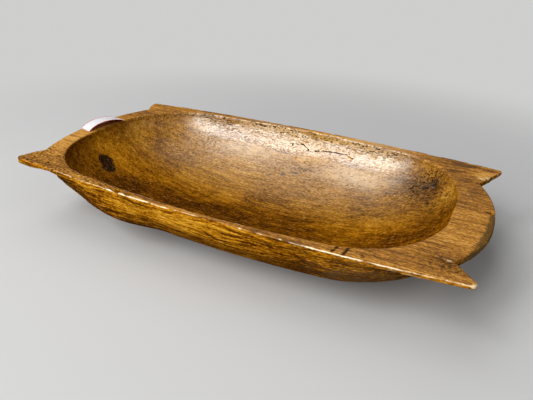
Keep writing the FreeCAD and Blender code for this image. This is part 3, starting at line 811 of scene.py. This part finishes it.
def satinFinish(board, place, at, grain, found):
    # satin wax over fine ripples that break up the shine
    height = board.noise(place, (8, 5, 5), 4.0, 0.7) * 0.5 + grain.grit * at.wax + grain.streaks * 0.3
    height = height + grain.strokes * (0.25 + at.outside * 0.3) + found.ridges * found.knot * 1.6
    height = height - found.cracks * 1.2 - found.pits * 0.7 - found.rimBars * 0.5 - found.stain * 0.6
    roughness = 0.38 + grain.mottle * 0.3 + grain.strokes * 0.2 + at.rimTop * 0.10 + found.pits * 0.2
    shine = 0.76 + grain.mottle * 0.8 + grain.grit * 3.0 + grain.hairs * 1.2
    wax = at.wax * (shine - found.specks * 0.3 - found.pits - found.cracks)
    wax = wax.most(found.knot * board.step(found.ridges, 0.58, 0.70) * 0.35)
    board.finish({"Roughness": roughness.clamp(), "Normal": board.rise(height, wood["ripple"])})
    board.finish({"Coat Weight": wax.clamp(), "Coat Roughness": wood["coatRoughness"]})
    board.finish({"Coat IOR": wood["coatBend"], "Specular IOR Level": 0.0})


def makeWood():
    board = Board("waxedWood")
    place = board.place()
    at = SimpleNamespace(**{name: board.mask(name) for name in wood["masks"]})
    grain = woodGrain(board, place)
    found = woodMarks(board, place, at, grain)
    board.finish({"Base Color": markedWood(board, plainWood(board, at, grain), at, found)})
    satinFinish(board, place, at, grain, found)
    return board.material


tag = {
    "archHeight": 0.0088,  # metres, as are all sizes and places below
    "thickness": 0.00045,
    "gap": 0.0002,  # between the seat and the paper
    "columns": 12,
    "rows": 60,
    "flatEnds": 0.02,  # share of the strip that lies flat at each end
    "lean": 0.85,  # below 1 the crown leans towards the near end
    "fullness": 0.8,  # below 1 the arch is fuller than a sine
    "outerSag": 0.07,  # how much lower the arch is along the outer edge
    "cupping": 0.0006,
    "twist": 0.0008,
    "freeHeight": 1.0 / 300.0,  # where the paper has risen this far it curls fully
    "nearOuter": (-0.3600, -0.0255),
    "nearInner": (-0.3330, -0.0330),
    "farInner": (-0.3235, 0.0500),
    "farOuter": (-0.3500, 0.0545),
    "white": ((0.80, 0.78, 0.80), (0.70, 0.67, 0.69)),
    "red": ((0.42, 0.020, 0.018), (0.52, 0.035, 0.030)),
    "border": (0.62, 0.060, 0.080),
    "borderEdges": (0.045, 0.070),  # shares of the width, where the border is full and where it ends
}


def tagHeight(u, v):
    # above the seat, at a share u of the way across from the outer edge and v of the way along
    along = min(max((v - tag["flatEnds"]) / (1.0 - 2.0 * tag["flatEnds"]), 0.0), 1.0)
    arch = tag["archHeight"] * math.sin(math.pi * along ** tag["lean"]) ** tag["fullness"]
    curl = tag["cupping"] * (2.0 * u - 1.0) ** 2 + tag["twist"] * (1.0 - u) * v
    free = min(1.0, arch / tag["freeHeight"])  # the curl fades out towards the flat ends
    return tag["gap"] + arch * (1.0 - tag["outerSag"] * (1.0 - u)) + curl * free


def makeTag():
    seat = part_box("price_tag")[0].z
    bpy.ops.mesh.primitive_grid_add(x_subdivisions=tag["columns"], y_subdivisions=tag["rows"], size=1.0)
    piece = bpy.context.active_object
    piece.name = "paperTag"
    across = piece.data.attributes.new("across", "FLOAT", "POINT")
    names = ("nearOuter", "nearInner", "farInner", "farOuter")
    nearOuter, nearInner, farInner, farOuter = (Vector(tag[name]) for name in names)
    for index, vertex in enumerate(piece.data.vertices):
        u, v = vertex.co.x + 0.5, vertex.co.y + 0.5
        across.data[index].value = u
        spot = nearOuter.lerp(nearInner, u).lerp(farOuter.lerp(farInner, u), v)
        vertex.co = (spot.x, spot.y, seat + tagHeight(u, v))
    applyModifier(piece, "SOLIDIFY", thickness=tag["thickness"], offset=1.0, material_offset=0)
    pickOnly(piece)
    bpy.ops.object.shade_smooth_by_angle(angle=math.radians(40))
    return piece


def makePaper(name, underside):
    board = Board(name)
    place = board.place()
    fibres = board.noise(place, (2.5, 2.5, 2.5), 3.0)
    cloud = board.noise(place, (14, 14, 14), 2.0)
    if underside:
        colour = board.blend(cloud, *tag["red"])
    else:
        across = board.mask("across")
        full, end = tag["borderEdges"]
        border = board.step(across, end, full) + board.step(across, 1.0 - end, 1.0 - full)
        colour = board.blend(cloud * 0.35, *tag["white"])
        colour = board.blend(border.clamp() * 0.9, colour, tag["border"])
    board.finish({"Base Color": colour, "Roughness": 0.55 + fibres * 0.2})
    board.finish({"Normal": board.rise(fibres, 0.0002, 0.5)})
    board.finish({"Specular IOR Level": 0.05 if underside else 0.3})
    return board.material


studio = {
    "floorSize": 14.0,  # metres
    "paleGrey": (0.62, 0.62, 0.615),  # the floor as the camera sees it
    "bounceGrey": (0.34, 0.34, 0.335),  # and as it lights the trough from below
    "worldColour": (0.90, 0.93, 0.97),
    "worldStrength": 0.08,
    "evenFrom": 0.55,  # metres from the middle where the floor starts to fade to an even grey
    "evenTo": 1.3,
    "aimHeight": 0.08,
    "lamps": (
        # name, turn about the trough, height angle, distance, width, height, watts
        ("leftWindow", -95.0, 30.0, 3.5, 0.8, 3.2, 64.0),
        ("rightWindow", -122.0, 35.0, 3.5, 0.9, 2.6, 74.0),
        ("skyLamp", -152.0, 64.0, 3.5, 2.6, 2.0, 32.0),
        ("rightFill", -5.0, 42.0, 3.5, 2.4, 2.0, 14.0),
        ("topSheen", 118.0, 60.0, 3.5, 2.2, 1.6, 8.0),
    ),
}

view = {
    "place": (0.3423, -0.6671, 0.4299),  # metres
    "turn": 26.0418,  # degrees, as are the next two
    "dip": 27.2269,
    "tilt": 1.9827,
    "lens": 33.77,  # millimetres
}


def makeFloor():
    bpy.ops.mesh.primitive_plane_add(size=studio["floorSize"], location=(0.0, 0.0, 0.0))
    floor = bpy.context.active_object
    floor.name = "studioFloor"
    board = Board("paleFloor")
    away = board.vector("LENGTH", (board.coordinates(),), "Value")
    seen = board.backgroundRay()
    grey = board.blend(seen, studio["bounceGrey"], studio["paleGrey"])
    board.finish({"Base Color": grey, "Roughness": 0.9, "Specular IOR Level": 0.1})
    even = board.add("ShaderNodeEmission", None, {"Color": (*studio["paleGrey"], 1.0), "Strength": 1.0})
    factor = board.step(away, studio["evenFrom"], studio["evenTo"]) * seen
    board.mixShader(factor, even, "Material Output")
    floor.data.materials.append(board.material)


def makeLamps():
    target = Vector((0.0, 0.0, studio["aimHeight"]))
    for name, turn, lift, distance, width, height, watts in studio["lamps"]:
        turn, lift = math.radians(turn), math.radians(lift)
        aim = Vector((math.cos(turn) * math.cos(lift), math.sin(turn) * math.cos(lift), math.sin(lift)))
        bpy.ops.object.light_add(type="AREA", location=aim * distance + target)
        lamp = bpy.context.active_object
        lamp.name = name
        lamp.rotation_euler = aim.to_track_quat("Z", "Y").to_euler()
        lamp.data.shape = "RECTANGLE"
        lamp.data.size, lamp.data.size_y, lamp.data.energy = width, height, watts
    board = Board("studioAir", bpy.data.worlds.new("studioAir"))
    bpy.context.scene.world = board.material
    board.finish({"Color": (*studio["worldColour"], 1.0), "Strength": studio["worldStrength"]})
    seen = board.add("ShaderNodeBackground", None, {"Color": (*studio["paleGrey"], 1.0), "Strength": 1.0})
    board.mixShader(board.backgroundRay(), seen, "World Output")


def makeCamera():
    bpy.ops.object.camera_add(location=view["place"])
    camera = bpy.context.active_object
    camera.name = "viewCamera"
    turn = Matrix.Rotation(math.radians(view["turn"]), 4, "Z")
    dip = Matrix.Rotation(math.radians(90.0 - view["dip"]), 4, "X")
    tilt = Matrix.Rotation(math.radians(view["tilt"]), 4, "Z")
    camera.matrix_world = Matrix.Translation(view["place"]) @ turn @ dip @ tilt
    camera.data.sensor_width = 36.0
    camera.data.lens = view["lens"]
    camera.data.clip_start = 0.01
    bpy.context.scene.camera = camera


bowl = makeTrough()
markTrough(bowl)
bowl.data.materials.append(makeWood())
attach(bowl, "root")
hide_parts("bowl")
print("trough finished")

paper = makeTag()
paper.data.materials.append(makePaper("tagFace", False))
paper.data.materials.append(makePaper("tagBack", True))
for face in paper.data.polygons:
    face.material_index = 1 if face.normal.z < 0.0 else 0
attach(paper, "root")
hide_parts("price_tag")
print("tag finished")

makeFloor()
makeLamps()
makeCamera()
bpy.context.scene.view_settings.view_transform = "Standard"
print("studio finished")
